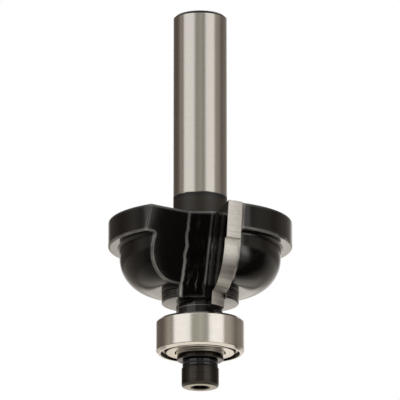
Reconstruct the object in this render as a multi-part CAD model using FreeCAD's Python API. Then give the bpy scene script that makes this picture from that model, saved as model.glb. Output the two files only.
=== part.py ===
import FreeCAD, Part
import math
import os

# Router bit with two brazed carbide tips and a ball-bearing guide, millimetres.
# The axis is Z, the shank points up, and the origin is the middle of the cap
# screw's flat end. The first tip faces -Y, and its rake face looks towards -X.

# Shank
shank_diameter = 8.0
shank_length = 31.85
shank_end_chamfer = 0.35

# Cutting edge, as it sweeps round the guide: bottom land, quarter round between
# two quirks, and top land. With the 13 mm guide it cuts 28.5 mm wide.
profile_radius = 6.35
lower_quirk = 0.35
upper_quirk = 1.05
bottom_land_height = 2.0
top_land_height = 5.5
tip_clearance = 1.05

# Steel head behind the cutting edge
rim_back_off = 0.6
rim_rise = 1.6
form_back_off = 1.25
land_back_off = 0.78
base_back_off = 1.5
neck_step = 0.3
rim_edge_radius = 0.25
rim_root_radius = 0.35
land_edge_radius = 0.12
neck_chamfer = 0.2

# Gullets: both lean inwards and sideways going down, and end above the neck
flute_count = 2
gullet_lean_angle = 12.68
gullet_skew_angle = 6.28
gullet_floor_step = 0.55
gullet_floor_width = 3.6
gullet_wall_angle = 38.7
gullet_root_radius = 0.45
gullet_edge_radius = 0.22
gullet_edge_share = 0.9  # of the rim's edge radius, which it meets, at most
rake_groove_depth = 0.5
rake_groove_width = 0.53

# Carbide tips and their brazed seats
rake_plane_angle = 12.85
rake_plane_offset = 1.024
tip_thickness = 2.3
tip_seat_depth = 0.3
relief_offset = 3.0
braze_thickness = 0.1

# Guide bearing
guide_diameter = 13.0
bearing_bore = 4.0
bearing_width = 5.0
bearing_corner = 0.35
inner_ring_chamfer = 0.12
ball_count = 7
ball_diameter = 2.0
ball_clearance = 0.01
pitch_offset = 0.1  # outwards from halfway between bore and outside
race_depth = 0.25
groove_to_ball_ratio = 0.52
shield_lip_width = 0.65  # of the outer ring, outside the shield's seat
shield_seat_depth = 0.65
shield_recess = 0.1
shield_thickness = 0.2
shield_plate_width = 1.4  # from the inner ring out to the edge of the flat plate
shield_slope = 0.2
shield_gap = 0.18
cage_clearance = 0.25
cage_pocket_clearance = 0.06
cage_floor = 0.4
cage_prong_height = 0.45

# Bush, shim, lock washer and cap screw
bush_flange_step = 0.18
bush_flange_thickness = 0.8
bush_flange_chamfer = 0.1
bush_end_clearance = 0.05
screw_clearance = 0.05
fit_clearance = 0.02
shim_thickness = 0.25
lock_washer_diameter = 5.26
lock_washer_thickness = 1.15
lock_washer_groove = 0.09
lock_washer_slit = 0.35
lock_washer_slit_angle = 150.0
lock_washer_slit_lean = 25.0
screw_diameter = 3.0
screw_length = 12.0
screw_head_diameter = 5.5
screw_head_height = 2.9
screw_head_radius = 0.45
screw_head_chamfer = 0.1
screw_tip_chamfer = 0.4
hex_across_flats = 2.5
hex_depth = 1.4
hex_cone_depth = 0.38
hex_mouth_chamfer = 0.08
thread_hole_spare = 1.6
drill_point_angle = 118.0

# Heights, stacked up from the screw's flat end
washer_bottom = screw_head_height
bush_bottom = washer_bottom + lock_washer_thickness
shim_bottom = bush_bottom + bush_flange_thickness
bearing_bottom = shim_bottom + shim_thickness
bearing_top = bearing_bottom + bearing_width
tip_bottom = bearing_top + tip_clearance
form_centre_height = tip_bottom + bottom_land_height + profile_radius
head_top = form_centre_height + top_land_height
shank_top = head_top + shank_length
rim_bottom = form_centre_height + rim_rise
base_bottom = tip_bottom + base_back_off
race_height = bearing_bottom + bearing_width / 2

# Radii inside the bearing, and of what seats on its inner ring
pitch_radius = (bearing_bore + guide_diameter) / 4 + pitch_offset
inner_ring_radius = pitch_radius - ball_diameter / 2 + race_depth
outer_shoulder_radius = pitch_radius + ball_diameter / 2 - race_depth
shield_seat_radius = guide_diameter / 2 - shield_lip_width
bush_flange_radius = inner_ring_radius - bush_flange_step
neck_radius = inner_ring_radius - neck_step

# Radii of the swept edge and of the head behind it
bottom_land_radius = guide_diameter / 2
form_centre_radius = bottom_land_radius + lower_quirk
cutting_radius = form_centre_radius + profile_radius + upper_quirk
rim_radius = cutting_radius - rim_back_off
head_form_radius = profile_radius - form_back_off
head_land_radius = bottom_land_radius - land_back_off

# Gullet of the tip that faces -Y, in the head's top face: its run is one
# millimetre up, and its floor is in front of the axis
vertical = FreeCAD.Vector(0, 0, 1)
gullet_lean = math.tan(math.radians(gullet_lean_angle))
gullet_skew = math.tan(math.radians(gullet_skew_angle))
gullet_run = FreeCAD.Vector(gullet_skew, -gullet_lean, 1.0)
gullet_floor_front = neck_radius + gullet_floor_step + gullet_lean * (head_top - bearing_top)
rake_groove_front = gullet_floor_front - rake_groove_depth
outside = 2 * cutting_radius


class Via:
    """Middle point of an arc in an outline."""

    def __init__(self, radius, height):
        self.place = (radius, height)


def turned(outline, axis_x=0.0, axis_y=0.0):
    """Solid of revolution about a vertical axis, from (radius, height) points."""
    def at(place):
        return FreeCAD.Vector(place[0], 0, place[1])

    edges = []
    here = outline[0]
    through = None
    for item in outline[1:] + outline[:1]:
        if isinstance(item, Via):
            through = item
            continue
        if through:
            edges.append(Part.Arc(at(here), at(through.place), at(item)).toShape())
        else:
            edges.append(Part.LineSegment(at(here), at(item)).toShape())
        here = item
        through = None
    solid = Part.Face(Part.Wire(edges)).revolve(FreeCAD.Vector(), vertical, 360)
    solid.translate(FreeCAD.Vector(axis_x, axis_y, 0))
    return solid


def tube(inner_radius, outer_radius, bottom, top):
    """Plain ring between two heights."""
    return turned([(inner_radius, bottom), (outer_radius, bottom), (outer_radius, top), (inner_radius, top)])


def prism(corners, height):
    """Corners in the head's top face, run down along the gullet by a height."""
    outline = Part.makePolygon(corners + corners[:1])
    return Part.Face(outline).extrude(gullet_run * -height)


def turned_round(shape, index, count):
    """Copy of a shape, turned about the bit's axis to one of several places."""
    copy = shape.copy()
    copy.rotate(FreeCAD.Vector(), vertical, 360.0 * index / count)
    return copy


def round_edges(shape, radius, heights):
    """Fillet the full circles of a turned blank that lie at (radius, height) places."""
    chosen = []
    for edge in shape.Edges:
        if not isinstance(edge.Curve, Part.Circle):
            continue
        for circle_radius, height in heights:
            same_size = abs(edge.Curve.Radius - circle_radius) < 1e-4
            if same_size and abs(edge.Curve.Center.z - height) < 1e-4:
                chosen.append(edge)
    return shape.makeFillet(radius, chosen)


def rake_point(along, behind, height=head_top):
    """Point of the rake plane's own frame: along it from the axis, and behind it."""
    angle = math.radians(rake_plane_angle)
    drop = height - head_top
    shift = gullet_skew * math.cos(angle) - gullet_lean * math.sin(angle)
    offset = rake_plane_offset + behind + drop * shift
    x = offset * math.cos(angle) + along * math.sin(angle)
    front = along * math.cos(angle) - offset * math.sin(angle)
    return FreeCAD.Vector(x, -front, height)


def edge_point(radius, height):
    """Point of the cutting edge at a radius and height: it lies on the rake plane."""
    foot = rake_point(0, 0, height)
    offset = math.hypot(foot.x, foot.y)
    return rake_point(math.sqrt(radius ** 2 - offset ** 2), 0, height)


def along_at_front(front):
    """Distance along the rake plane at which it is this far in front of the axis."""
    angle = math.radians(rake_plane_angle)
    return (front + rake_plane_offset * math.sin(angle)) / math.cos(angle)


def form_outline(land, form_radius, bottom, reach=lambda radius, height: radius):
    """Bottom land and quarter round, with each radius passed through a function."""
    low = form_centre_height - form_radius
    slant = form_radius * math.sqrt(0.5)
    middle = (form_centre_radius + slant, form_centre_height - slant)
    return [
        (reach(land, bottom), bottom),
        (reach(land, low), low),
        (reach(form_centre_radius, low), low),
        Via(reach(*middle), middle[1]),
        (reach(form_centre_radius + form_radius, form_centre_height), form_centre_height),
    ]


def head_blank():
    """Shank, rim, quarter round and neck as one turned piece of steel."""
    neck = neck_radius
    shank = shank_diameter / 2
    widest = form_centre_radius + head_form_radius
    outline = [
        (0, bearing_top),
        (neck - neck_chamfer, bearing_top),
        (neck, bearing_top + neck_chamfer),
        (neck, base_bottom),
    ]
    outline += form_outline(head_land_radius, head_form_radius, base_bottom)
    outline += [
        (widest, rim_bottom),
        (rim_radius, rim_bottom),
        (rim_radius, head_top),
        (shank, head_top),
        (shank, shank_top - shank_end_chamfer),
        (shank - shank_end_chamfer, shank_top),
        (0, shank_top),
    ]
    blank = turned(outline)
    blank = round_edges(blank, rim_edge_radius, [(rim_radius, head_top), (rim_radius, rim_bottom)])
    blank = round_edges(blank, rim_root_radius, [(widest, rim_bottom)])
    return round_edges(blank, land_edge_radius, [(head_land_radius, base_bottom)])


def floor_edges():
    """Left and right edge of the gullet's floor at the head's top; the groove is beside it."""
    groove = rake_point(along_at_front(rake_groove_front), 0)
    right = FreeCAD.Vector(groove.x - rake_groove_width, -gullet_floor_front, head_top)
    return right - FreeCAD.Vector(gullet_floor_width, 0, 0), right


def wall_direction():
    """Direction of the gullet's slanted wall in plan, from its root outwards."""
    angle = math.radians(gullet_wall_angle)
    return FreeCAD.Vector(-math.cos(angle), -math.sin(angle), 0)


def gullet():
    """Chip space in front of one tip: slanted wall, floor, rake groove and rake plane."""
    left, right = floor_edges()
    corners = [
        rake_point(outside, 0),
        rake_point(along_at_front(rake_groove_front), 0),
        right + FreeCAD.Vector(0, rake_groove_depth, 0),
        right,
        left,
        left + wall_direction() * outside,
    ]
    return round_root(prism(corners, head_top - bearing_top))


def on_gullet_line(points, start):
    """Whether all the points lie on the line that runs down a gullet from a start."""
    return all((point - start).cross(gullet_run).Length < 1e-3 for point in points)


def round_root(space):
    """Round the line where the gullet's wall meets its floor."""
    root, free_edge = floor_edges()
    chosen = []
    for edge in space.Edges:
        if on_gullet_line([vertex.Point for vertex in edge.Vertexes], root):
            chosen.append(edge)
    return space.makeFillet(gullet_root_radius, chosen)


def round_gullet_edges(body):
    """Round the whole edge of each gullet's wall and top, and the free edge of its floor."""
    root, free_edge = floor_edges()
    wall_normal = wall_direction().cross(gullet_run).normalize()
    chosen = []
    for edge in body.Edges:
        for flute in range(flute_count):
            back = FreeCAD.Rotation(vertical, -360.0 * flute / flute_count)
            ends = [back.multVec(vertex.Point) for vertex in edge.Vertexes]
            on_wall = all(abs((end - root).dot(wall_normal)) < 1e-3 for end in ends)
            on_rim = all(abs(math.hypot(end.x, end.y) - rim_radius) < 1e-3 for end in ends)
            if (on_wall and on_rim) or on_gullet_line(ends, free_edge):
                chosen.append(edge)
    return body.makeFillet(min(gullet_edge_radius, rim_edge_radius * gullet_edge_share), chosen)


def tip_plate(grown=0.0):
    """Carbide blank from its seat outwards; grown at its back and inner edge for the seat."""
    inner = along_at_front(rake_groove_front - tip_seat_depth)
    corners = [
        rake_point(inner - grown, 0),
        rake_point(outside, 0),
        rake_point(outside, tip_thickness + grown),
        rake_point(inner - grown, tip_thickness + grown),
    ]
    return prism(corners, head_top - tip_bottom)


def relieved_form():
    """Swept form about an axis beside the bit's own, so that it falls away behind the edge."""
    top_edge = edge_point(cutting_radius, head_top)
    low_edge = edge_point(bottom_land_radius, tip_bottom)
    azimuth = (math.atan2(top_edge.x, -top_edge.y) + math.atan2(low_edge.x, -low_edge.y)) / 2
    axis_x = -relief_offset * math.cos(azimuth)
    axis_y = -relief_offset * math.sin(azimuth)

    def reach(radius, height):
        edge = edge_point(radius, height)
        return math.hypot(edge.x - axis_x, edge.y - axis_y)

    outline = [(0, tip_bottom)]
    outline += form_outline(bottom_land_radius, profile_radius, tip_bottom, reach)
    for height in (form_centre_height, head_top):
        outline.append((reach(cutting_radius, height), height))
    outline.append((0, head_top))
    return turned(outline, axis_x, axis_y)


def carbide_tip():
    """One tip: the plate, ground to the relieved form."""
    return tip_plate().common(relieved_form())


def braze_layer(blank):
    """Film of braze between a tip and the head, as far as the head reaches."""
    return tip_plate(braze_thickness).common(blank).cut(tip_plate())


def threaded_hole():
    """Blind hole in the neck for the cap screw, with a drill point."""
    radius = screw_diameter / 2 + fit_clearance
    bottom = bearing_top
    end = screw_head_height + screw_length + thread_hole_spare
    point = radius / math.tan(math.radians(drill_point_angle / 2))
    return turned([(0, bottom), (radius, bottom), (radius, end), (0, end + point)])


def cutter_body(blank):
    """Head and shank with gullets, tip seats and the screw's hole."""
    body = blank.cut(threaded_hole())
    for flute in range(flute_count):
        body = body.cut(turned_round(gullet(), flute, flute_count))
        body = body.cut(turned_round(tip_plate(braze_thickness), flute, flute_count))
    return round_gullet_edges(body)


def race_groove(contact_radius, side):
    """Ball groove as a ring, centred so that it touches the contact circle."""
    groove_radius = groove_to_ball_ratio * ball_diameter
    centre = contact_radius + side * groove_radius
    return Part.makeTorus(centre, groove_radius, FreeCAD.Vector(0, 0, race_height), vertical)


def inner_ring():
    """Inner race, clamped between the neck and the shim."""
    bore = bearing_bore / 2
    outer = inner_ring_radius
    edge = inner_ring_chamfer
    ring = turned([
        (bore + edge, bearing_bottom), (outer - edge, bearing_bottom), (outer, bearing_bottom + edge),
        (outer, bearing_top - edge), (outer - edge, bearing_top), (bore + edge, bearing_top),
        (bore, bearing_top - edge), (bore, bearing_bottom + edge),
    ])
    return ring.cut(race_groove(pitch_radius - ball_diameter / 2, 1))


def outer_ring():
    """Outer race that rolls along the work, with a seat for a shield at each end."""
    outer = guide_diameter / 2
    seat = shield_seat_radius
    shoulder = outer_shoulder_radius
    low_seat = bearing_bottom + shield_seat_depth
    high_seat = bearing_top - shield_seat_depth
    ring = turned([
        (seat, bearing_bottom), (outer - bearing_corner, bearing_bottom),
        (outer, bearing_bottom + bearing_corner), (outer, bearing_top - bearing_corner),
        (outer - bearing_corner, bearing_top), (seat, bearing_top), (seat, high_seat),
        (shoulder, high_seat), (shoulder, low_seat), (seat, low_seat),
    ])
    return ring.cut(race_groove(pitch_radius + ball_diameter / 2, -1))


def shield(face, inward):
    """Pressed steel shield: a flat plate dished out from the rim that is pressed on its seat.

    inward is +1 at the lower face and -1 at the upper one.
    """
    outer = shield_seat_radius - fit_clearance
    inner = inner_ring_radius + shield_gap
    plate = inner_ring_radius + shield_plate_width
    foot = plate + shield_slope
    near = face + inward * shield_recess
    far = near + inward * shield_thickness
    seat = face + inward * shield_seat_depth
    rim = seat - inward * shield_thickness
    return turned([
        (inner, near), (plate, near), (foot, rim), (outer, rim), (outer, seat),
        (foot - shield_thickness, seat), (plate - shield_thickness, far), (inner, far),
    ])


def ball(index):
    """One ball of the set, in its place on the pitch circle."""
    centre = FreeCAD.Vector(0, -pitch_radius, race_height)
    sphere = Part.makeSphere(ball_diameter / 2 - ball_clearance, centre)
    return turned_round(sphere, index, ball_count)


def cage():
    """Crown cage: a ring below the balls, with open pockets that hold them past the middle."""
    inner = inner_ring_radius + cage_clearance
    outer = outer_shoulder_radius - cage_clearance
    bottom = race_height - ball_diameter / 2 - cage_pocket_clearance - cage_floor
    crown = tube(inner, outer, bottom, race_height + cage_prong_height)
    pocket = Part.makeSphere(ball_diameter / 2 + cage_pocket_clearance,
                             FreeCAD.Vector(0, -pitch_radius, race_height))
    for index in range(ball_count):
        crown = crown.cut(turned_round(pocket, index, ball_count))
    return crown


def flanged_bush():
    """Sleeve that centres the bearing on the screw, with a flange that clamps it."""
    bore = screw_diameter / 2 + screw_clearance
    sleeve = bearing_bore / 2 - fit_clearance
    flange = bush_flange_radius
    edge = bush_flange_chamfer
    return turned([
        (bore, bush_bottom), (flange - edge, bush_bottom), (flange, bush_bottom + edge),
        (flange, shim_bottom - edge), (flange - edge, shim_bottom), (sleeve, shim_bottom),
        (sleeve, bearing_top - bush_end_clearance), (bore, bearing_top - bush_end_clearance),
    ])


def shim_washer():
    """Thin bright washer between the bush's flange and the inner ring."""
    return tube(bearing_bore / 2 + fit_clearance, inner_ring_radius, shim_bottom, bearing_bottom)


def lock_washer():
    """Double spring washer, pressed flat: two turns with a seam between them and a slit."""
    inner = screw_diameter / 2 + screw_clearance
    outer = lock_washer_diameter / 2
    seam = washer_bottom + lock_washer_thickness / 2
    edge = lock_washer_groove
    ring = turned([
        (inner, washer_bottom), (outer - edge, washer_bottom), (outer, washer_bottom + edge),
        (outer, seam - edge), (outer - edge, seam), (outer, seam + edge),
        (outer, bush_bottom - edge), (outer - edge, bush_bottom), (inner, bush_bottom),
    ])
    length = lock_washer_diameter
    slit = Part.makeBox(length, lock_washer_slit, 4 * lock_washer_thickness,
                        FreeCAD.Vector(0, -lock_washer_slit / 2, -2 * lock_washer_thickness))
    slit.rotate(FreeCAD.Vector(), FreeCAD.Vector(1, 0, 0), lock_washer_slit_lean)
    slit.rotate(FreeCAD.Vector(), vertical, lock_washer_slit_angle)
    slit.translate(FreeCAD.Vector(0, 0, seam))
    return ring.cut(slit)


def hex_socket():
    """Hexagon key socket in the screw's head, with a shallow cone at its end."""
    corner = hex_across_flats / math.sqrt(3)
    corners = []
    for index in range(6):
        turn = math.radians(60 * index)
        corners.append(FreeCAD.Vector(corner * math.cos(turn), corner * math.sin(turn), 0))
    key = Part.Face(Part.makePolygon(corners + corners[:1])).extrude(vertical * hex_depth)
    end = turned([(0, hex_depth), (hex_across_flats / 2, hex_depth), (0, hex_depth + hex_cone_depth)])
    mouth = Part.makeCone(corner + hex_mouth_chamfer, corner, hex_mouth_chamfer)
    return key.fuse(end).fuse(mouth)


def cap_screw():
    """Socket cap screw; its thread is a plain cylinder."""
    head = screw_head_diameter / 2
    shaft = screw_diameter / 2
    top = screw_head_height
    end = top + screw_length
    edge = screw_head_chamfer
    blank = turned([
        (0, 0), (head, 0), (head, top - edge), (head - edge, top), (shaft, top),
        (shaft, end - screw_tip_chamfer), (shaft - screw_tip_chamfer, end), (0, end),
    ])
    blank = round_edges(blank, screw_head_radius, [(head, 0)])
    return blank.cut(hex_socket())


def all_pieces():
    """Every separate piece of the bit, by name."""
    blank = head_blank()
    pieces = {"cutter_body": cutter_body(blank)}
    for flute in range(flute_count):
        pieces["carbide_tip_%d" % (flute + 1)] = turned_round(carbide_tip(), flute, flute_count)
        pieces["braze_layer_%d" % (flute + 1)] = turned_round(braze_layer(blank), flute, flute_count)
    pieces["bearing_outer_ring"] = outer_ring()
    pieces["bearing_inner_ring"] = inner_ring()
    pieces["bearing_shield_lower"] = shield(bearing_bottom, 1)
    pieces["bearing_shield_upper"] = shield(bearing_top, -1)
    pieces["bearing_cage"] = cage()
    for index in range(ball_count):
        pieces["bearing_ball_%d" % (index + 1)] = ball(index)
    pieces["shim_washer"] = shim_washer()
    pieces["flanged_bush"] = flanged_bush()
    pieces["lock_washer"] = lock_washer()
    pieces["cap_screw"] = cap_screw()
    return pieces


os.makedirs("parts", exist_ok=True)
for name, shape in all_pieces().items():
    shape.exportStep("parts/%s.step" % name)
    box = shape.BoundBox
    print("%-22s %8.2f mm3  %d solid  z %.2f to %.2f  valid %s"
          % (name, shape.Volume, len(shape.Solids), box.ZMin, box.ZMax, shape.isValid()))
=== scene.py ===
# Router bit with two carbide tips and a bearing guide: finishes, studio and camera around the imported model.
import math

import bpy
import numpy as np
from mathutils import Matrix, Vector

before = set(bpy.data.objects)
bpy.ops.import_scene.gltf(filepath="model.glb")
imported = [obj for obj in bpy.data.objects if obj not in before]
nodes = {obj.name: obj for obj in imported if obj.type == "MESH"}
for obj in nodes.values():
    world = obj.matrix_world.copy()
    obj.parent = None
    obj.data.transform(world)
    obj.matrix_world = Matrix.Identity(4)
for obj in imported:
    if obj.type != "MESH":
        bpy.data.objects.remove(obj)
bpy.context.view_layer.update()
scene = bpy.context.scene
millimetre = 0.001


def linearColour(hexColour, alpha=1.0):
    # sRGB hex to linear: below 0.04045 divided by 12.92, above it the 2.4 power curve
    values = np.array([int(hexColour[i : i + 2], 16) for i in (1, 3, 5)]) / 255
    linear = np.where(values <= 0.04045, values / 12.92, ((values + 0.055) / 1.055) ** 2.4)
    return (*linear.tolist(), alpha)


def addNode(tree, kind, settings=None, links=None, **options):
    node = tree.nodes.new(kind)
    for name, value in options.items():
        setattr(node, name, value)
    for socket, value in (settings or {}).items():
        node.inputs[socket].default_value = value
    for socket, source in (links or {}).items():
        tree.links.new(source, node.inputs[socket])
    return node


def startMaterial(name):
    material = bpy.data.materials.new(name)
    material.use_nodes = True
    material.node_tree.nodes.clear()
    return material, material.node_tree


def finishMaterial(tree, settings, links):
    shader = addNode(tree, "ShaderNodeBsdfPrincipled", settings, links)
    addNode(tree, "ShaderNodeOutputMaterial", links={"Surface": shader.outputs["BSDF"]})


def setRamp(ramp, stops):
    # stops are (position, hex colour) or (position, grey value)
    elements = ramp.color_ramp.elements
    while len(elements) < len(stops):
        elements.new(0.5)
    for element, (position, value) in zip(elements, stops):
        element.position = position
        element.color = linearColour(value) if isinstance(value, str) else (value, value, value, 1)


# The cutter body is one bar of tool steel: the shank is centreless-ground bright, and the head and the
# first millimetres of the shank are sprayed with black lacquer, which thins and shines along the edges.
# Sizes are in millimetres, and heights are above the floor. Wear runs from 0, whole lacquer, to 1;
# the pale lines it draws along the edges, in the gullets and round the foot and neck are partly real wear
# and partly painted highlights.
cutterLook = {
    "steel": {
        "colour": "#CFCBC6",
        "dark": "#BDB8B2",
        "toneRange": (0.3, 0.7),  # of the noise, from the dark colour to the light one
        "roughness": 0.22,
        "spread": 0.05,  # the roughness varies by this from line to line
        "pitch": 0.09,  # between grinding lines
        "scaleColour": "#0F0D0C",  # the shank's end chamfer isn't ground and keeps its hardening scale
        "scaleHeights": (56.4, 56.84),
    },
    "lacquer": {
        "colour": "#0D0B0A",
        # the pale colour of worn lacquer, also used for the painted highlights along edges, in the gullets
        # and on the foot and neck
        "wornAndHighlit": "#D2CFCB",  # at a wear of 1
        "wornAndHighlitMetal": 0.4,  # how metallic that is
        "roughness": 0.14,
        "spread": 0.04,
        "ior": 1.52,
        "peel": 0.9,  # orange peel of the spraying
        "top": 28.85,  # where it stops on the shank
        "topFade": (0.05, 0.17),  # above that
        "fringe": 0.22,  # of unevenness in that edge
        "fringeSize": 1.111,
    },
    "overspray": {  # the thin lacquer on the shank is satin, with a thick black edge at its top
        "colour": "#261F15",
        "roughness": 0.42,
        "from": (25.1, 25.15),
        "upTo": (28.15, 28.35),
    },
    "relief": 0.08,
    "reliefDepth": 0.02,
    "rounding": 0.3,  # of the lacquered edges
    "clouds": 3.03,  # size of the handling marks, which break up the wear and painted highlights of the edges
    "edges": {
        "reach": 0.48,  # from an outer edge to where the lacquer has its full thickness
        "openness": (0.93, 0.68),  # of that reach: the lacquer starts to thin, and is at its thinnest
        "wearAndHighlight": 0.9,
        "breaks": (0.22, 0.52),  # of the clouds: none, and full wear and painted highlight
        # heights from and to, and the share of wear and painted highlight below and above: the form gets more
        # than the rim, and the foot's edges very little
        "byHeight": [(21.0, 21.5, 1.0, 0.35), (14.3, 14.7, 0.12, 1.0)],
        "groove": (-3.75, 0.9, 0.2),  # beside the tip: sideways limit, depth, share of wear and painted highlight
    },
    "gullet": {
        "skew": 0.11005,  # sideways a millimetre up, for both gullets alike
        "lean": 0.22499,  # outwards a millimetre up
        "root": (4.302, 1.578),  # where the root line would be at height 0
        "wander": 0.4,  # to each side, at most: the painted highlight along the root wavers
        "wanderLength": 2.6,
        "rootWidth": (0.12, 0.34),  # each side, over which the root line fades
        "rootByHeight": (24.0, 13.5, 0.16, 0.55),  # heights, and the strength of the painted root highlight at each
        "floorReach": 0.06,
        "streakSize": (0.6, 2.4),  # across and along, of the painted streaks of reflection on the gullet's floor
        "streakRange": (0.54, 0.74),  # of the noise
        "streakByHeight": (17.5, 13.0, 0.02, 0.34),
    },
    "lines": {
        "footPitch": 0.36,  # between the fine turned lines round the foot
        "footCrest": 0.55,  # share of the wave above which a line shows
        "footHeights": (12.7, 14.2),
        "footRadius": 5.55,  # the lines are on the wall outside this, not on the gullet's floor
        "footLineHighlight": 0.16,
        "neckHeights": (11.73, 11.87),
        "neckHighlight": 0.3,
    },
}


def edgeWearAndHighlights(tree, look, axes, clouds):
    # seen from inside the body, light gets in only beside an outer edge, so this finds no inner corners
    thickness = addNode(
        tree,
        "ShaderNodeAmbientOcclusion",
        {"Distance": look["reach"] * millimetre},
        inside=True,
        only_local=True,
        samples=8,
    )
    start, end = look["openness"]
    thinned = addNode(
        tree,
        "ShaderNodeMapRange",
        {"From Min": start, "From Max": end, "To Min": 0.0, "To Max": look["wearAndHighlight"]},
        {"Value": thickness.outputs["AO"]},
    )
    start, end = look["breaks"]
    broken = addNode(
        tree, "ShaderNodeMapRange", {"From Min": start, "From Max": end}, {"Value": clouds.outputs["Fac"]}
    )
    # the outer edges turn pale: partly worn lacquer, partly painted highlight
    wornAndHighlit = addNode(
        tree, "ShaderNodeMath", links={0: thinned.outputs[0], 1: broken.outputs[0]}, operation="MULTIPLY"
    )
    for start, end, below, above in look["byHeight"]:
        share = addNode(
            tree,
            "ShaderNodeMapRange",
            {
                "From Min": start * millimetre,
                "From Max": end * millimetre,
                "To Min": below,
                "To Max": above,
            },
            {"Value": axes.outputs["Z"]},
        )
        wornAndHighlit = addNode(
            tree, "ShaderNodeMath", links={0: wornAndHighlit.outputs[0], 1: share.outputs[0]}, operation="MULTIPLY"
        )
    return wornAndHighlit


def placeInGullet(tree, look, axes):
    # both gullets in one frame: how far sideways from the root line, and how far in front of the floor
    side = addNode(tree, "ShaderNodeMath", links={0: axes.outputs["Y"]}, operation="SIGN")
    mirroredX = addNode(
        tree, "ShaderNodeMath", links={0: axes.outputs["X"], 1: side.outputs[0]}, operation="MULTIPLY"
    )
    depth = addNode(tree, "ShaderNodeMath", links={0: axes.outputs["Y"]}, operation="ABSOLUTE")
    sideways = addNode(
        tree,
        "ShaderNodeMath",
        {1: look["skew"]},
        {0: axes.outputs["Z"], 2: mirroredX.outputs[0]},
        operation="MULTIPLY_ADD",
    )
    outwards = addNode(
        tree,
        "ShaderNodeMath",
        {1: -look["lean"]},
        {0: axes.outputs["Z"], 2: depth.outputs[0]},
        operation="MULTIPLY_ADD",
    )
    wander = addNode(
        tree,
        "ShaderNodeTexNoise",
        {"Scale": 1 / (look["wanderLength"] * millimetre), "Detail": 2.0},
        {"W": axes.outputs["Z"]},
        noise_dimensions="1D",
    )
    aside = addNode(
        tree,
        "ShaderNodeMapRange",
        {"To Min": -look["wander"] * millimetre, "To Max": look["wander"] * millimetre},
        {"Value": wander.outputs["Fac"]},
    )
    wandering = addNode(
        tree, "ShaderNodeMath", links={0: sideways.outputs[0], 1: aside.outputs[0]}, operation="ADD"
    )
    inGullet = addNode(
        tree, "ShaderNodeCombineXYZ", links={"X": wandering.outputs[0], "Y": outwards.outputs[0]}
    )
    across, out = look["root"]
    return addNode(
        tree,
        "ShaderNodeVectorMath",
        {1: (across * millimetre, out * millimetre, 0.0)},
        {0: inGullet.outputs[0]},
        operation="SUBTRACT",
    )


def outsideGroove(tree, look, parts):
    # the groove beside the tip keeps its lacquer
    limit, depth, share = look["groove"]
    besideFloor = addNode(
        tree, "ShaderNodeMath", {1: limit * millimetre}, {0: parts.outputs["X"]}, operation="LESS_THAN"
    )
    nearFloor = addNode(
        tree,
        "ShaderNodeMath",
        {1: 0.0, 2: depth * millimetre},
        {0: parts.outputs["Y"]},
        operation="COMPARE",
    )
    inGroove = addNode(
        tree,
        "ShaderNodeMath",
        links={0: besideFloor.outputs[0], 1: nearFloor.outputs[0]},
        operation="MULTIPLY",
    )
    return addNode(
        tree, "ShaderNodeMapRange", {"To Min": 1.0, "To Max": share}, {"Value": inGroove.outputs[0]}
    )


def rootLinePaintedHighlight(tree, look, axes, fromRoot):
    # a painted highlight along the root of the gullet, brighter downwards
    rootDistance = addNode(tree, "ShaderNodeVectorMath", links={0: fromRoot.outputs[0]}, operation="LENGTH")
    start, end = look["rootWidth"]
    rootFade = addNode(
        tree,
        "ShaderNodeMapRange",
        {"From Min": start * millimetre, "From Max": end * millimetre, "To Min": 1.0, "To Max": 0.0},
        {"Value": rootDistance.outputs["Value"]},
        interpolation_type="SMOOTHSTEP",
    )
    start, end, first, last = look["rootByHeight"]
    downwards = addNode(
        tree,
        "ShaderNodeMapRange",
        {"From Min": start * millimetre, "From Max": end * millimetre, "To Min": first, "To Max": last},
        {"Value": axes.outputs["Z"]},
    )
    return addNode(
        tree,
        "ShaderNodeMath",
        links={0: rootFade.outputs[0], 1: downwards.outputs[0]},
        operation="MULTIPLY",
    )


def paintedFloorStreaks(tree, look, axes, parts):
    # soft upright streaks of painted reflection, on the gullet's floor only, and most of them at its foot
    onFloor = addNode(
        tree,
        "ShaderNodeMath",
        {1: 0.0, 2: look["floorReach"] * millimetre},
        {0: parts.outputs["Y"]},
        operation="COMPARE",
    )
    wide, long = look["streakSize"]
    streakPlace = addNode(
        tree, "ShaderNodeCombineXYZ", links={"X": parts.outputs["X"], "Z": axes.outputs["Z"]}
    )
    streakScaled = addNode(
        tree,
        "ShaderNodeMapping",
        {"Scale": (1 / (wide * millimetre), 1.0, 1 / (long * millimetre))},
        {"Vector": streakPlace.outputs[0]},
    )
    streakNoise = addNode(
        tree, "ShaderNodeTexNoise", {"Scale": 1.0, "Detail": 3.0}, {"Vector": streakScaled.outputs[0]}
    )
    start, end = look["streakRange"]
    streaks = addNode(
        tree,
        "ShaderNodeMapRange",
        {"From Min": start, "From Max": end},
        {"Value": streakNoise.outputs["Fac"]},
    )
    start, end, first, last = look["streakByHeight"]
    lowStreaks = addNode(
        tree,
        "ShaderNodeMapRange",
        {"From Min": start * millimetre, "From Max": end * millimetre, "To Min": first, "To Max": last},
        {"Value": axes.outputs["Z"]},
    )
    streaksDown = addNode(
        tree,
        "ShaderNodeMath",
        links={0: streaks.outputs[0], 1: lowStreaks.outputs[0]},
        operation="MULTIPLY",
    )
    return addNode(
        tree,
        "ShaderNodeMath",
        links={0: streaksDown.outputs[0], 1: onFloor.outputs[0]},
        operation="MULTIPLY",
    )


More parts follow.
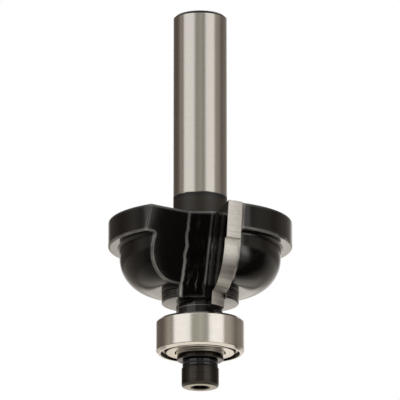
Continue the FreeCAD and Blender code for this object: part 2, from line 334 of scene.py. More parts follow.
def turnedLinesAndNeckHighlight(tree, look, axes):
    # a few fine lines that the turning tool left round the foot, drawn pale as painted highlights
    footPhase = addNode(
        tree,
        "ShaderNodeMath",
        {1: 2 * math.pi / (look["footPitch"] * millimetre)},
        {0: axes.outputs["Z"]},
        operation="MULTIPLY",
    )
    footWave = addNode(tree, "ShaderNodeMath", links={0: footPhase.outputs[0]}, operation="SINE")
    footLines = addNode(
        tree,
        "ShaderNodeMapRange",
        {"From Min": look["footCrest"], "From Max": 1.0, "To Max": look["footLineHighlight"]},
        {"Value": footWave.outputs[0]},
    )
    flat = addNode(tree, "ShaderNodeCombineXYZ", links={"X": axes.outputs["X"], "Y": axes.outputs["Y"]})
    fromAxis = addNode(tree, "ShaderNodeVectorMath", links={0: flat.outputs[0]}, operation="LENGTH")
    onWall = addNode(
        tree,
        "ShaderNodeMath",
        {1: look["footRadius"] * millimetre},
        {0: fromAxis.outputs["Value"]},
        operation="GREATER_THAN",
    )
    # and a painted highlight round the neck
    bands = []
    for low, high in (look["footHeights"], look["neckHeights"]):
        middle, half = (low + high) / 2 * millimetre, (high - low) / 2 * millimetre
        band = addNode(
            tree, "ShaderNodeMath", {1: middle, 2: half}, {0: axes.outputs["Z"]}, operation="COMPARE"
        )
        bands.append(band.outputs[0])
    onFoot = addNode(
        tree, "ShaderNodeMath", links={0: bands[0], 1: onWall.outputs[0]}, operation="MULTIPLY"
    )
    footLineHighlight = addNode(
        tree, "ShaderNodeMath", links={0: footLines.outputs[0], 1: onFoot.outputs[0]}, operation="MULTIPLY"
    )
    neckHighlight = addNode(tree, "ShaderNodeMath", {1: look["neckHighlight"]}, {0: bands[1]}, operation="MULTIPLY")
    return addNode(
        tree, "ShaderNodeMath", links={0: neckHighlight.outputs[0], 1: footLineHighlight.outputs[0]}, operation="MAXIMUM"
    )


def lacquerWearAndHighlights(tree, look, axes, place):
    # the strongest of the wear and painted highlights: the turned lines, the neck line, the gullet's root and
    # floor, and the edges
    fromRoot = placeInGullet(tree, look["gullet"], axes)
    parts = addNode(tree, "ShaderNodeSeparateXYZ", links={0: fromRoot.outputs[0]})
    clouds = addNode(
        tree,
        "ShaderNodeTexNoise",
        {"Scale": 1 / (look["clouds"] * millimetre), "Detail": 3.0},
        {"Vector": place},
    )
    edges = edgeWearAndHighlights(tree, look["edges"], axes, clouds)
    groove = outsideGroove(tree, look["edges"], parts)
    wornAndHighlit = addNode(
        tree, "ShaderNodeMath", links={0: edges.outputs[0], 1: groove.outputs[0]}, operation="MULTIPLY"
    )
    lines = turnedLinesAndNeckHighlight(tree, look["lines"], axes)
    root = rootLinePaintedHighlight(tree, look["gullet"], axes, fromRoot)
    streaks = paintedFloorStreaks(tree, look["gullet"], axes, parts)
    for other in (lines, root, streaks):
        wornAndHighlit = addNode(
            tree, "ShaderNodeMath", links={0: wornAndHighlit.outputs[0], 1: other.outputs[0]}, operation="MAXIMUM"
        )
    return wornAndHighlit


def groundSteelAndLacquer(look):
    material, tree = startMaterial("groundSteelAndBlackLacquer")
    place = addNode(tree, "ShaderNodeTexCoord").outputs["Object"]
    axes = addNode(tree, "ShaderNodeSeparateXYZ", links={0: place})
    steel, lacquer, overspray = look["steel"], look["lacquer"], look["overspray"]

    # lacquer mask: 1 below its top, with a slightly uneven fringe a fifth of a millimetre wide
    fringe = addNode(
        tree,
        "ShaderNodeTexNoise",
        {"Scale": 1 / (lacquer["fringeSize"] * millimetre), "Detail": 2.0},
        {"Vector": place},
    )
    unevenHeight = addNode(
        tree,
        "ShaderNodeMath",
        {1: lacquer["fringe"] * millimetre},
        {0: fringe.outputs["Fac"], 2: axes.outputs["Z"]},
        operation="MULTIPLY_ADD",
    )
    start, end = lacquer["topFade"]
    lacquered = addNode(
        tree,
        "ShaderNodeMapRange",
        {
            "From Min": (lacquer["top"] + start) * millimetre,
            "From Max": (lacquer["top"] + end) * millimetre,
            "To Min": 1.0,
            "To Max": 0.0,
        },
        {"Value": unevenHeight.outputs[0]},
    )

    # grinding lines run round the shank: noise read along the height only, one line per pitch
    grinding = addNode(
        tree,
        "ShaderNodeTexNoise",
        {"Scale": 1 / (steel["pitch"] * millimetre), "Detail": 3.0, "Roughness": 0.65},
        {"W": axes.outputs["Z"]},
        noise_dimensions="1D",
    )
    steelRamp = addNode(tree, "ShaderNodeValToRGB", links={"Fac": grinding.outputs["Fac"]})
    setRamp(steelRamp, list(zip(steel["toneRange"], (steel["dark"], steel["colour"]))))
    low, high = steel["scaleHeights"]
    onChamfer = addNode(
        tree,
        "ShaderNodeMath",
        {1: (low + high) / 2 * millimetre, 2: (high - low) / 2 * millimetre},
        {0: axes.outputs["Z"]},
        operation="COMPARE",
    )
    steelTone = addNode(
        tree,
        "ShaderNodeMix",
        {7: linearColour(steel["scaleColour"])},
        {0: onChamfer.outputs[0], 6: steelRamp.outputs["Color"]},
        data_type="RGBA",
    )

    # the overspray on the shank, up to the black edge where the masking was
    start, end = overspray["from"]
    onShank = addNode(
        tree,
        "ShaderNodeMapRange",
        {"From Min": start * millimetre, "From Max": end * millimetre},
        {"Value": axes.outputs["Z"]},
    )
    start, end = overspray["upTo"]
    underEdge = addNode(
        tree,
        "ShaderNodeMapRange",
        {"From Min": start * millimetre, "From Max": end * millimetre, "To Min": 1.0, "To Max": 0.0},
        {"Value": axes.outputs["Z"]},
    )
    oversprayed = addNode(
        tree, "ShaderNodeMath", links={0: onShank.outputs[0], 1: underEdge.outputs[0]}, operation="MULTIPLY"
    )
    coat = addNode(
        tree,
        "ShaderNodeMix",
        {6: linearColour(lacquer["colour"]), 7: linearColour(overspray["colour"])},
        {0: oversprayed.outputs[0]},
        data_type="RGBA",
    )
    # pale where the lacquer is worn, and painted highlights along edges, the gullet's root and floor, the
    # foot and the neck
    wearAndHighlight = lacquerWearAndHighlights(tree, look, axes, place)
    lacquerTone = addNode(
        tree,
        "ShaderNodeMix",
        {7: linearColour(lacquer["wornAndHighlit"])},
        {0: wearAndHighlight.outputs[0], 6: coat.outputs[2]},
        data_type="RGBA",
    )
    colour = addNode(
        tree,
        "ShaderNodeMix",
        links={0: lacquered.outputs[0], 6: steelTone.outputs[2], 7: lacquerTone.outputs[2]},
        data_type="RGBA",
    )
    bare = addNode(tree, "ShaderNodeMath", {0: 1.0}, {1: lacquered.outputs[0]}, operation="SUBTRACT")
    metal = addNode(
        tree,
        "ShaderNodeMath",
        {1: lacquer["wornAndHighlitMetal"]},
        {0: wearAndHighlight.outputs[0], 2: bare.outputs[0]},
        operation="MULTIPLY_ADD",
        use_clamp=True,
    )

    # roughness and relief follow the grinding on steel and the orange peel on lacquer
    peel = addNode(
        tree,
        "ShaderNodeTexNoise",
        {"Scale": 1 / (lacquer["peel"] * millimetre), "Detail": 2.0},
        {"Vector": place},
    )
    rough = []
    for surface, pattern in ((steel, grinding), (lacquer, peel)):
        least, most = surface["roughness"] - surface["spread"], surface["roughness"] + surface["spread"]
        varied = addNode(
            tree, "ShaderNodeMapRange", {"To Min": least, "To Max": most}, {"Value": pattern.outputs["Fac"]}
        )
        rough.append(varied.outputs[0])
    roughPaint = addNode(
        tree, "ShaderNodeMix", {3: overspray["roughness"]}, {0: onShank.outputs[0], 2: rough[1]}
    )
    roughness = addNode(
        tree, "ShaderNodeMix", links={0: lacquered.outputs[0], 2: rough[0], 3: roughPaint.outputs[0]}
    )
    heights = addNode(
        tree,
        "ShaderNodeMix",
        links={0: lacquered.outputs[0], 2: grinding.outputs["Fac"], 3: peel.outputs["Fac"]},
    )
    rounded = addNode(tree, "ShaderNodeBevel", {"Radius": look["rounding"] * millimetre}, samples=8)
    relief = addNode(
        tree,
        "ShaderNodeBump",
        {"Strength": look["relief"], "Distance": look["reliefDepth"] * millimetre},
        {"Height": heights.outputs[0], "Normal": rounded.outputs["Normal"]},
    )
    finishMaterial(
        tree,
        {"IOR": lacquer["ior"]},
        {
            "Base Color": colour.outputs[2],
            "Metallic": metal.outputs[0],
            "Roughness": roughness.outputs[0],
            "Normal": relief.outputs["Normal"],
        },
    )
    return material


# Sintered tungsten carbide, ground flat on a diamond wheel: a pale satin grey with fine parallel lines. The
# rake faces are lapped, so they are glossier and mirror darker surroundings, and their colour is darkened
# with painted shade. Sizes are in millimetres.
carbideLook = {
    "colour": "#DEDBD6",
    "darkLine": "#C4C1BC",
    "toneRange": (0.45, 0.8),  # of lines and grain together, from the dark colour to the light one
    "roughness": 0.44,
    "spread": 0.08,
    "linePitch": 0.16,  # coarser than the real 0.03 mm lines so that they show
    "lineLength": 16.67,
    "grainSize": 0.4,  # coarser than the real one so that it shows
    "grainShare": 0.3,
    "relief": 0.2,
    "reliefDepth": 0.02,
    "edgeRadius": 0.1,
    "rakeRoughness": 0.13,
    "rakePaintedShade": "#8F8C88",
    "rakeFacing": 0.85,  # how squarely a rake face looks back along the cut, 1 is fully
    "lacquer": "#14110F",  # left on the two ends, which are not ground after spraying
    "endLow": 11.17,
    "endHigh": 24.98,
}


def groundCarbide(look):
    material, tree = startMaterial("groundTungstenCarbide")
    surface = addNode(tree, "ShaderNodeTexCoord")
    place = surface.outputs["Object"]
    axes = addNode(tree, "ShaderNodeSeparateXYZ", links={0: place})
    # the wheel runs along the outer face, so a line is long across x and y and thin along z
    length, pitch = look["lineLength"] * millimetre, look["linePitch"] * millimetre
    lengthened = addNode(
        tree, "ShaderNodeMapping", {"Scale": (1 / length, 1 / length, 1 / pitch)}, {"Vector": place}
    )
    lines = addNode(
        tree,
        "ShaderNodeTexNoise",
        {"Scale": 1.0, "Detail": 3.0, "Roughness": 0.6},
        {"Vector": lengthened.outputs[0]},
    )
    grain = addNode(
        tree,
        "ShaderNodeTexNoise",
        {"Scale": 1 / (look["grainSize"] * millimetre), "Detail": 2.0},
        {"Vector": place},
    )
    tone = addNode(
        tree,
        "ShaderNodeMath",
        {1: look["grainShare"]},
        {0: grain.outputs["Fac"], 2: lines.outputs["Fac"]},
        operation="MULTIPLY_ADD",
    )
    ramp = addNode(tree, "ShaderNodeValToRGB", links={"Fac": tone.outputs[0]})
    setRamp(ramp, list(zip(look["toneRange"], (look["darkLine"], look["colour"]))))
    rough = addNode(
        tree,
        "ShaderNodeMapRange",
        {"To Min": look["roughness"] - look["spread"], "To Max": look["roughness"] + look["spread"]},
        {"Value": lines.outputs["Fac"]},
    )
    # the rake faces look back along the cut, to -X on the tip in front and to +X on the one behind
    facing = addNode(tree, "ShaderNodeSeparateXYZ", links={0: surface.outputs["Normal"]})
    side = addNode(tree, "ShaderNodeMath", links={0: axes.outputs["Y"]}, operation="SIGN")
    backwards = addNode(
        tree, "ShaderNodeMath", links={0: facing.outputs["X"], 1: side.outputs[0]}, operation="MULTIPLY"
    )
    rake = addNode(
        tree, "ShaderNodeMath", {1: look["rakeFacing"]}, {0: backwards.outputs[0]}, operation="GREATER_THAN"
    )
    roughness = addNode(
        tree, "ShaderNodeMix", {3: look["rakeRoughness"]}, {0: rake.outputs[0], 2: rough.outputs[0]}
    )
    # painted shade: the rake faces get a darker colour than the ground faces
    bare = addNode(
        tree,
        "ShaderNodeMix",
        {7: linearColour(look["rakePaintedShade"])},
        {0: rake.outputs[0], 6: ramp.outputs["Color"]},
        data_type="RGBA",
    )
    aboveLow = addNode(
        tree,
        "ShaderNodeMath",
        {1: look["endLow"] * millimetre},
        {0: axes.outputs["Z"]},
        operation="GREATER_THAN",
    )
    belowHigh = addNode(
        tree,
        "ShaderNodeMath",
        {1: look["endHigh"] * millimetre},
        {0: axes.outputs["Z"]},
        operation="LESS_THAN",
    )
    ground = addNode(
        tree,
        "ShaderNodeMath",
        links={0: aboveLow.outputs[0], 1: belowHigh.outputs[0]},
        operation="MULTIPLY",
    )
    colour = addNode(
        tree,
        "ShaderNodeMix",
        {6: linearColour(look["lacquer"])},
        {0: ground.outputs[0], 7: bare.outputs[2]},
        data_type="RGBA",
    )
    rounded = addNode(tree, "ShaderNodeBevel", {"Radius": look["edgeRadius"] * millimetre}, samples=8)
    relief = addNode(
        tree,
        "ShaderNodeBump",
        {"Strength": look["relief"], "Distance": look["reliefDepth"] * millimetre},
        {"Height": lines.outputs["Fac"], "Normal": rounded.outputs[0]},
    )
    finishMaterial(
        tree,
        {},
        {
            "Base Color": colour.outputs[2],
            "Metallic": ground.outputs[0],
            "Roughness": roughness.outputs[0],
            "Normal": relief.outputs["Normal"],
        },
    )
    return material


# Turned, ground or pressed parts of the guide: the same steel with another surface on each. Sizes are in
# millimetres, and the rings of painted shade are between two distances from the axis.
turnedSurface = {
    "toneRange": (0.5, 0.85),  # of lines and clouds together, from the dark colour to the bright one
    "cloudSize": 1.43,
    "cloudShare": 0.35,
    "spread": 0.03,  # share of the roughness by which it varies
    "reliefDepth": 0.02,
}
turnedLooks = {
    "groundBearingRing": {  # hardened and ground: a bright soft mirror, with painted shade on the wall of the shield's seat
        "bright": "#E7E3DD", "dark": "#DAD5CE", "roughness": 0.21,
        "linePitch": 0.12, "relief": 0.08, "edgeRadius": 0.12,
        "paintedShadeRings": [(0.0, 5.865)], "shade": "#29231E",
    },
    "polishedInnerRing": {
        "bright": "#E7E3DD", "dark": "#D6D1CA", "roughness": 0.2,
        "linePitch": 0.12, "relief": 0.08, "edgeRadius": 0.08,
    },
    "pressedShieldSteel": {  # thin cold-rolled sheet: pale satin, with painted shade along the two bends of its rim
        "bright": "#F3EEE6", "dark": "#E3DDD3", "roughness": 0.28,
        "linePitch": 0.3, "relief": 0.1, "edgeRadius": 0.06,
        "paintedShadeRings": [(5.03, 5.32), (5.56, 6.0)], "shade": "#2B2520",
    },
    "lappedBallSteel": {  # a clean mirror
        "bright": "#D0CFCD", "dark": "#C4C2C0", "roughness": 0.08,
        "linePitch": 0.4, "relief": 0.02, "edgeRadius": 0.02,
    },
    "silverBraze": {  # run in with flux: dull and grainy
        "bright": "#8D8880", "dark": "#6B6660", "roughness": 0.45,
        "linePitch": 0.5, "relief": 0.3, "edgeRadius": 0.03,
    },
    "blackOxideSteel": {  # blackened in hot salts: warm near-black with a soft sheen
        "bright": "#45403C", "dark": "#37332F", "roughness": 0.28,
        "linePitch": 0.2, "relief": 0.08, "edgeRadius": 0.12,
        "rubbedAndMirroredBelow": 0.02, "rubbedAndMirroredColour": "#9A9287",  # mm above the floor: the head's end face is pale, partly rubbed and partly a painted reflection of the floor
    },
    "blackSpringSteel": {  # tempered and oiled: glossy blue-black
        "bright": "#444347", "dark": "#39383C", "roughness": 0.12,
        "linePitch": 0.2, "relief": 0.05, "edgeRadius": 0.1,
    },
    "blackTurnedSteel": {  # turned smooth, then blackened: near-black with sharp reflections
        "bright": "#3B3632", "dark": "#2E2A27", "roughness": 0.16,
        "linePitch": 0.15, "relief": 0.06, "edgeRadius": 0.12,
    },
}


def turnedMetal(name, look, surface):
    # lines run round the axis: noise read along the height and the radius, sheared together
    material, tree = startMaterial(name)
    place = addNode(tree, "ShaderNodeTexCoord").outputs["Object"]
    axes = addNode(tree, "ShaderNodeSeparateXYZ", links={0: place})
    flat = addNode(tree, "ShaderNodeCombineXYZ", links={"X": axes.outputs["X"], "Y": axes.outputs["Y"]})
    radius = addNode(tree, "ShaderNodeVectorMath", links={0: flat.outputs[0]}, operation="LENGTH")
    along = addNode(
        tree, "ShaderNodeMath", links={0: radius.outputs["Value"], 1: axes.outputs["Z"]}, operation="ADD"
    )
    lines = addNode(
        tree,
        "ShaderNodeTexNoise",
        {"Scale": 1 / (look["linePitch"] * millimetre), "Detail": 3.0, "Roughness": 0.6},
        {"W": along.outputs[0]},
        noise_dimensions="1D",
    )
    clouds = addNode(
        tree,
        "ShaderNodeTexNoise",
        {"Scale": 1 / (surface["cloudSize"] * millimetre), "Detail": 3.0},
        {"Vector": place},
    )
    tone = addNode(
        tree,
        "ShaderNodeMath",
        {1: surface["cloudShare"]},
        {0: clouds.outputs["Fac"], 2: lines.outputs["Fac"]},
        operation="MULTIPLY_ADD",
    )
    ramp = addNode(tree, "ShaderNodeValToRGB", links={"Fac": tone.outputs[0]})
    setRamp(ramp, list(zip(surface["toneRange"], (look["dark"], look["bright"]))))
    colour = ramp.outputs["Color"]
    # painted shade: a dark colour laid between two distances from the axis, where the part lies in shade
    for near, far in look.get("paintedShadeRings", []):
        middle, half = (near + far) / 2 * millimetre, (far - near) / 2 * millimetre
        between = addNode(
            tree, "ShaderNodeMath", {1: middle, 2: half}, {0: radius.outputs["Value"]}, operation="COMPARE"
        )
        shade = addNode(
            tree,
            "ShaderNodeMix",
            {7: linearColour(look["shade"])},
            {0: between.outputs[0], 6: colour},
            data_type="RGBA",
        )
        colour = shade.outputs[2]
    # the head's end face is painted pale: partly rubbed metal, partly a painted reflection of the floor under
    # it
    if "rubbedAndMirroredBelow" in look:
        low = addNode(
            tree,
            "ShaderNodeMath",
            {1: look["rubbedAndMirroredBelow"] * millimetre},
            {0: axes.outputs["Z"]},
            operation="LESS_THAN",
        )
        pale = addNode(
            tree,
            "ShaderNodeMix",
            {7: linearColour(look["rubbedAndMirroredColour"])},
            {0: low.outputs[0], 6: colour},
            data_type="RGBA",
        )
        colour = pale.outputs[2]
    least, most = look["roughness"] * (1 - surface["spread"]), look["roughness"] * (1 + surface["spread"])
    rough = addNode(
        tree, "ShaderNodeMapRange", {"To Min": least, "To Max": most}, {"Value": clouds.outputs["Fac"]}
    )
    rounded = addNode(tree, "ShaderNodeBevel", {"Radius": look["edgeRadius"] * millimetre}, samples=8)
    relief = addNode(
        tree,
        "ShaderNodeBump",
        {"Strength": look["relief"], "Distance": surface["reliefDepth"] * millimetre},
        {"Height": lines.outputs["Fac"], "Normal": rounded.outputs[0]},
    )
    finishMaterial(
        tree,
        {"Metallic": 1.0},
        {"Base Color": colour, "Roughness": rough.outputs[0], "Normal": relief.outputs["Normal"]},
    )
    return material


# Glass-filled nylon, moulded: the ball cage, a milky off-white with a faint mottled sheen.
nylonLook = {
    "colour": "#D9D2BF",
    "shade": "#C7BFA9",
    "toneRange": (0.3, 0.7),
    "mottle": 0.6,  # mm
    "roughness": 0.48,
    "ior": 1.53,
    "milkiness": 0.1,
    "milkDepth": 0.5,  # mm that light goes in
    "relief": 0.15,
    "reliefDepth": 0.03,  # mm
}


def mouldedNylon(look):
    material, tree = startMaterial("mouldedNylon")
    place = addNode(tree, "ShaderNodeTexCoord").outputs["Object"]
    mottle = addNode(
        tree,
        "ShaderNodeTexNoise",
        {"Scale": 1 / (look["mottle"] * millimetre), "Detail": 3.0},
        {"Vector": place},
    )
    ramp = addNode(tree, "ShaderNodeValToRGB", links={"Fac": mottle.outputs["Fac"]})
    setRamp(ramp, list(zip(look["toneRange"], (look["shade"], look["colour"]))))
    relief = addNode(
        tree,
        "ShaderNodeBump",
        {"Strength": look["relief"], "Distance": look["reliefDepth"] * millimetre},
        {"Height": mottle.outputs["Fac"]},
    )
    finishMaterial(
        tree,
        {
            "Roughness": look["roughness"],
            "IOR": look["ior"],
            "Subsurface Weight": look["milkiness"],
            "Subsurface Scale": look["milkDepth"] * millimetre,
        },
        {"Base Color": ramp.outputs["Color"], "Normal": relief.outputs["Normal"]},
    )
    return material


turned = {name: turnedMetal(name, look, turnedSurface) for name, look in turnedLooks.items()}
finishOfNode = {
    "cutter_body": groundSteelAndLacquer(cutterLook),
    "carbide_tip": groundCarbide(carbideLook),
    "braze_layer": turned["silverBraze"],
    "bearing_outer_ring": turned["groundBearingRing"],
    "bearing_inner_ring": turned["polishedInnerRing"],
    "bearing_shield": turned["pressedShieldSteel"],
    "bearing_cage": mouldedNylon(nylonLook),
    "bearing_ball": turned["lappedBallSteel"],
    "shim_washer": turned["pressedShieldSteel"],
    "flanged_bush": turned["blackTurnedSteel"],
    "lock_washer": turned["blackSpringSteel"],
    "cap_screw": turned["blackOxideSteel"],
}
for nodeName, nodeObject in nodes.items():
    finish = next(value for key, value in finishOfNode.items() if nodeName.startswith(key))
    nodeObject.data.materials.clear()
    nodeObject.data.materials.append(finish)
print("finishes on the nodes:", len(nodes))


# Studio: a pale floor that the bit stands on, two soft boxes, and a surround of dim cloth that only mirrors
# see. Its tones give the metal and the lacquer their light and dark bands. Azimuths are degrees round the
# bit from the camera's side, to the right positive, and sizes here are in metres.
studio = {
    "floorDrop": 0.00005,  # below the screw head
    "floorSize": 1.6,
    "floorColour": "#FBF4E9",
    "floorLift": 0.36,  # how much lighter the camera sees the paper, so that it comes out white
    "boxDistance": 1.2,
    "boxAim": 0.025,  # height that the boxes point at
    "boxes": [
        {"azimuth": -49, "elevation": 25, "width": 1.1, "height": 1.0, "radiance": 0.9},
        {"azimuth": 43.5, "elevation": 25, "width": 0.9, "height": 1.0, "radiance": 0.9},
    ],
    "fillLevel": 0.45,
    "surround": {"radius": 1.6, "height": 1.5, "near": 0.011},
    "highTones": [
        (-166, "#FFFFFF"), (-158, "#6E665F"), (-127, "#645D56"), (-114, "#5E5750"), (-102, "#857C74"),
        (-90, "#AEA79C"), (-80, "#8A857D"), (-22, "#8A857D"), (-16, "#AAA79C"), (-3, "#AAA79C"),
        (1, "#CFCCC1"), (5, "#AFACA1"), (14, "#9F9C92"), (20, "#8A857D"), (68, "#8A857D"), (76, "#AEA79C"),
        (92, "#9A9289"), (104, "#6E6760"), (123, "#857E77"), (136, "#857E77"), (154, "#A8A198"),
        (162, "#FFFFFF"),
    ],
    "lowTones": [
        (-168, "#E8E0D5"), (-155, "#B4ACA3"), (-140, "#A09890"), (-120, "#8E867D"), (-92, "#7A746D"),
        (-74, "#3A3734"), (-40, "#141210"), (12, "#0C0B0A"), (20, "#E8E4DE"), (64, "#E8E4DE"),
        (77, "#0C0B0A"), (101, "#2A2725"), (119, "#A8A299"), (140, "#BDB6AD"), (155, "#E0D9CF"),
        (168, "#FBF4E9"),
    ],
    "nearTones": [
        (-168, "#E8E0D5"), (-145, "#E8E0D5"), (-134, "#D8D0C5"), (-107, "#A8A299"), (-85, "#7A756F"),
        (-55, "#2A2725"), (-30, "#141210"), (16, "#0C0B0A"), (26, "#7A756F"), (62, "#7A756F"),
        (74, "#0C0B0A"), (95, "#14110F"), (107, "#7A756F"), (121, "#A8A299"), (132, "#E8E0D5"),
        (168, "#F4EEE5"),
    ],
    # a low bright window in the cloth, as a share at each azimuth
    "window": [(-180, 0.0), (54, 0.0), (61, 1.0), (67, 1.0), (76, 0.0)],
    "windowStrength": 2.4,
    # what each fade is measured along, from where to where, the value before and after, and its curve
    "fades": {
        "nearToLow": ("distance", 0.026, 0.042, 0.0, 1.0, "SMOOTHSTEP"),
        "lowToHigh": ("height", 0.0, 0.2, 0.0, 1.0, "SMOOTHSTEP"),
        "windowFrom": ("distance", 0.045, 0.075, 0.0, 1.0, "LINEAR"),
        "windowUpTo": ("height", 0.04, 0.3, 1.0, 0.0, "LINEAR"),
        # a brighter patch of cloth on the floor behind the bit, which the undersides mirror, and a darker
        # one in front of it
        "patchSides": ("aside", 0.009, 0.032, 0.95, 0.0, "SMOOTHSTEP"),
        "patchFrom": ("behind", 0.0455, 0.0515, 0.0, 1.0, "SMOOTHSTEP"),
        "patchUpTo": ("behind", 0.1, 0.15, 1.0, 0.0, "SMOOTHSTEP"),
        "darkFrom": ("behind", 0.028, 0.036, 0.0, -0.8, "SMOOTHSTEP"),
    },
}


def direction(azimuth, elevation=0.0):
    across, up = math.radians(azimuth), math.radians(elevation)
    return Vector((math.sin(across) * math.cos(up), -math.cos(across) * math.cos(up), math.sin(up)))


def stageObject(name, vertices, faces, material):
    mesh = bpy.data.meshes.new(name)
    mesh.from_pydata([tuple(v) for v in vertices.tolist()], [], faces)
    mesh.materials.append(material)
    piece = bpy.data.objects.new(name, mesh)
    scene.collection.objects.link(piece)
    return piece


def paleFloorMaterial(colour, lift):
    # matt pale paper: seen from above it keeps the shadow, a mirror ray finds it as pale as the background,
    # and from below it is clear, because the camera looks up from under its level
    material, tree = startMaterial("paleFloor")
    light = addNode(tree, "ShaderNodeLightPath")
    side = addNode(tree, "ShaderNodeNewGeometry")
    paper = addNode(tree, "ShaderNodeBsdfDiffuse", {"Color": linearColour(colour)})
    glow = addNode(tree, "ShaderNodeEmission", {"Color": linearColour(colour), "Strength": 1.0})
    mirrored = addNode(
        tree,
        "ShaderNodeMath",
        links={0: light.outputs["Is Glossy Ray"], 1: light.outputs["Is Transmission Ray"]},
        operation="MAXIMUM",
    )
    lifted = addNode(
        tree, "ShaderNodeMath", {1: lift}, {0: light.outputs["Is Camera Ray"]}, operation="MULTIPLY"
    )
    veil = addNode(tree, "ShaderNodeEmission", {"Color": (1, 1, 1, 1)}, {"Strength": lifted.outputs[0]})
    paperSeen = addNode(tree, "ShaderNodeAddShader", links={0: paper.outputs[0], 1: veil.outputs[0]})
    top = addNode(
        tree,
        "ShaderNodeMixShader",
        links={0: mirrored.outputs[0], 1: paperSeen.outputs[0], 2: glow.outputs[0]},
    )
    clear = addNode(tree, "ShaderNodeBsdfTransparent")
    both = addNode(
        tree,
        "ShaderNodeMixShader",
        links={0: side.outputs["Backfacing"], 1: top.outputs[0], 2: clear.outputs[0]},
    )
    addNode(tree, "ShaderNodeOutputMaterial", links={"Surface": both.outputs[0]})
    return material


def surroundMaterial(look):
    # dim cloth all round, as bright as its tone: azimuth picks the tones, and the fades mix them by place
    material, tree = startMaterial("surroundCloth")
    place = addNode(tree, "ShaderNodeTexCoord").outputs["Object"]
    axes = addNode(tree, "ShaderNodeSeparateXYZ", links={0: place})
    toCamera = addNode(tree, "ShaderNodeMath", {1: -1.0}, {0: axes.outputs["Y"]}, operation="MULTIPLY")
    azimuth = addNode(
        tree, "ShaderNodeMath", links={0: axes.outputs["X"], 1: toCamera.outputs[0]}, operation="ARCTAN2"
    )
    turn = addNode(
        tree,
        "ShaderNodeMapRange",
        {"From Min": -math.pi, "From Max": math.pi},
        {"Value": azimuth.outputs[0]},
    )
    ramps = {}
    for level in ("nearTones", "lowTones", "highTones", "window"):
        ramp = addNode(tree, "ShaderNodeValToRGB", links={"Fac": turn.outputs[0]})
        setRamp(ramp, [((angle + 180) / 360, value) for angle, value in look[level]])
        ramps[level] = ramp.outputs["Color"]
    distance = addNode(tree, "ShaderNodeVectorMath", links={0: place}, operation="LENGTH")
    aside = addNode(tree, "ShaderNodeMath", links={0: axes.outputs["X"]}, operation="ABSOLUTE")
    measures = {
        "distance": distance.outputs["Value"],
        "height": axes.outputs["Z"],
        "aside": aside.outputs[0],
        "behind": axes.outputs["Y"],
    }
    fades = {}
    for name, (measure, start, end, before, after, curve) in look["fades"].items():
        fade = addNode(
            tree,
            "ShaderNodeMapRange",
            {"From Min": start, "From Max": end, "To Min": before, "To Max": after},
            {"Value": measures[measure]},
            interpolation_type=curve,
        )
        fades[name] = fade.outputs[0]
    below = addNode(
        tree,
        "ShaderNodeMix",
        links={0: fades["nearToLow"], 6: ramps["nearTones"], 7: ramps["lowTones"]},
        data_type="RGBA",
    )
    tone = addNode(
        tree,
        "ShaderNodeMix",
        links={0: fades["lowToHigh"], 6: below.outputs[2], 7: ramps["highTones"]},
        data_type="RGBA",
    )
    pane = addNode(
        tree, "ShaderNodeMath", links={0: fades["windowFrom"], 1: fades["windowUpTo"]}, operation="MULTIPLY"
    )
    share = addNode(
        tree, "ShaderNodeMath", links={0: ramps["window"], 1: pane.outputs[0]}, operation="MULTIPLY"
    )
    windowLight = addNode(
        tree,
        "ShaderNodeMath",
        {1: look["windowStrength"], 2: 1.0},
        {0: share.outputs[0]},
        operation="MULTIPLY_ADD",
    )
    patch = addNode(
        tree, "ShaderNodeMix", links={0: fades["patchFrom"], 2: fades["darkFrom"], 3: fades["patchUpTo"]}
    )
    strength = addNode(
        tree,
        "ShaderNodeMath",
        links={0: fades["patchSides"], 1: patch.outputs[0], 2: windowLight.outputs[0]},
        operation="MULTIPLY_ADD",
    )
    glow = addNode(
        tree, "ShaderNodeEmission", links={"Color": tone.outputs[2], "Strength": strength.outputs[0]}
    )
    addNode(tree, "ShaderNodeOutputMaterial", links={"Surface": glow.outputs[0]})
    return material


def ringPoints(radius, height, steps=96):
    # points on a circle: the angle runs round once and ends where it began
    angle = np.linspace(-math.pi, math.pi, steps + 1)
    return np.column_stack([radius * np.sin(angle), -radius * np.cos(angle), np.full(steps + 1, height)])


def strip(name, first, second, material):
    # quads between two rows of points
    count = len(first)
    quads = [(i, i + 1, i + 1 + count, i + count) for i in range(count - 1)]
    return stageObject(name, np.vstack([first, second]), quads, material)


def buildFloorAndSurround(look):
    half, drop = look["floorSize"] / 2, -look["floorDrop"]
    corners = np.array([(-half, -half, drop), (half, -half, drop), (half, half, drop), (-half, half, drop)])
    stageObject("floor", corners, [(0, 1, 2, 3)], paleFloorMaterial(look["floorColour"], look["floorLift"]))
    size = look["surround"]
    cloth = surroundMaterial(look)
    inner, outer = ringPoints(size["near"], 0.0), ringPoints(size["radius"], 0.0)
    top = ringPoints(size["radius"], size["height"])
    for piece in (strip("surround_floor", inner, outer, cloth), strip("surround_wall", outer, top, cloth)):
        piece.visible_camera = False
        piece.visible_diffuse = False
        piece.visible_shadow = False


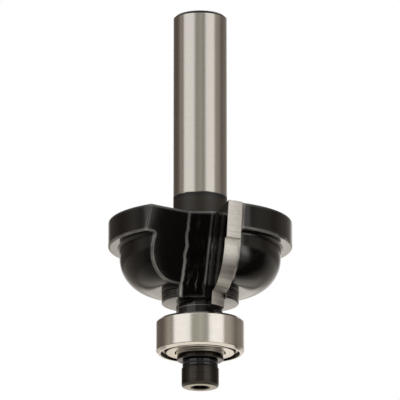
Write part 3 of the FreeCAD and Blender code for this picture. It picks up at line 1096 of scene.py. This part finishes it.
def hangSoftBoxes(look):
    for number, box in enumerate(look["boxes"]):
        lamp = bpy.data.lights.new(f"soft_box_{number}", "AREA")
        lamp.shape = "RECTANGLE"
        lamp.size = box["width"]
        lamp.size_y = box["height"]
        lamp.energy = box["radiance"] * math.pi * box["width"] * box["height"]
        holder = bpy.data.objects.new(f"soft_box_{number}", lamp)
        toward = direction(box["azimuth"], box["elevation"])
        holder.location = toward * look["boxDistance"] + Vector((0, 0, look["boxAim"]))
        holder.rotation_euler = toward.to_track_quat("Z", "Y").to_euler()
        holder.visible_camera = False
        scene.collection.objects.link(holder)


def whiteWorld(fillLevel):
    # white wherever it is seen, straight or in a mirror, and a dim even fill for everything else
    world = bpy.data.worlds.new("studioWorld")
    world.use_nodes = True
    tree = world.node_tree
    tree.nodes.clear()
    light = addNode(tree, "ShaderNodeLightPath")
    seen = addNode(
        tree,
        "ShaderNodeMath",
        links={0: light.outputs["Is Camera Ray"], 1: light.outputs["Is Glossy Ray"]},
        operation="MAXIMUM",
    )
    seenOrThrough = addNode(
        tree,
        "ShaderNodeMath",
        links={0: seen.outputs[0], 1: light.outputs["Is Transmission Ray"]},
        operation="MAXIMUM",
    )
    strength = addNode(
        tree,
        "ShaderNodeMapRange",
        {"To Min": fillLevel, "To Max": 1.0},
        {"Value": seenOrThrough.outputs[0]},
    )
    background = addNode(
        tree, "ShaderNodeBackground", {"Color": (1, 1, 1, 1)}, {"Strength": strength.outputs[0]}
    )
    addNode(tree, "ShaderNodeOutputWorld", links={"Surface": background.outputs[0]})
    return world


buildFloorAndSurround(studio)
hangSoftBoxes(studio)
scene.world = whiteWorld(studio["fillLevel"])
print("studio:", len(studio["boxes"]), "soft boxes and the surround")


# The camera looks up at the bit from 14.8 degrees below, through a long lens 772 mm away.
cameraLook = {
    "distance": 0.772,
    "elevation": -14.8,
    "aim": (-0.00003, 0.0, 0.02855),
    "lens": 468.0,
    "sensor": 36.0,
    "clip": (0.05, 20.0),
}


def placeCamera(look):
    camera = bpy.data.objects.new("camera", bpy.data.cameras.new("camera"))
    camera.data.lens = look["lens"]
    camera.data.sensor_width = look["sensor"]
    camera.data.clip_start, camera.data.clip_end = look["clip"]
    toward = direction(0, look["elevation"])
    camera.location = Vector(look["aim"]) + toward * look["distance"]
    camera.rotation_euler = toward.to_track_quat("Z", "Y").to_euler()
    scene.collection.objects.link(camera)
    scene.camera = camera


placeCamera(cameraLook)
scene.view_settings.view_transform = "Standard"
print("camera placed")
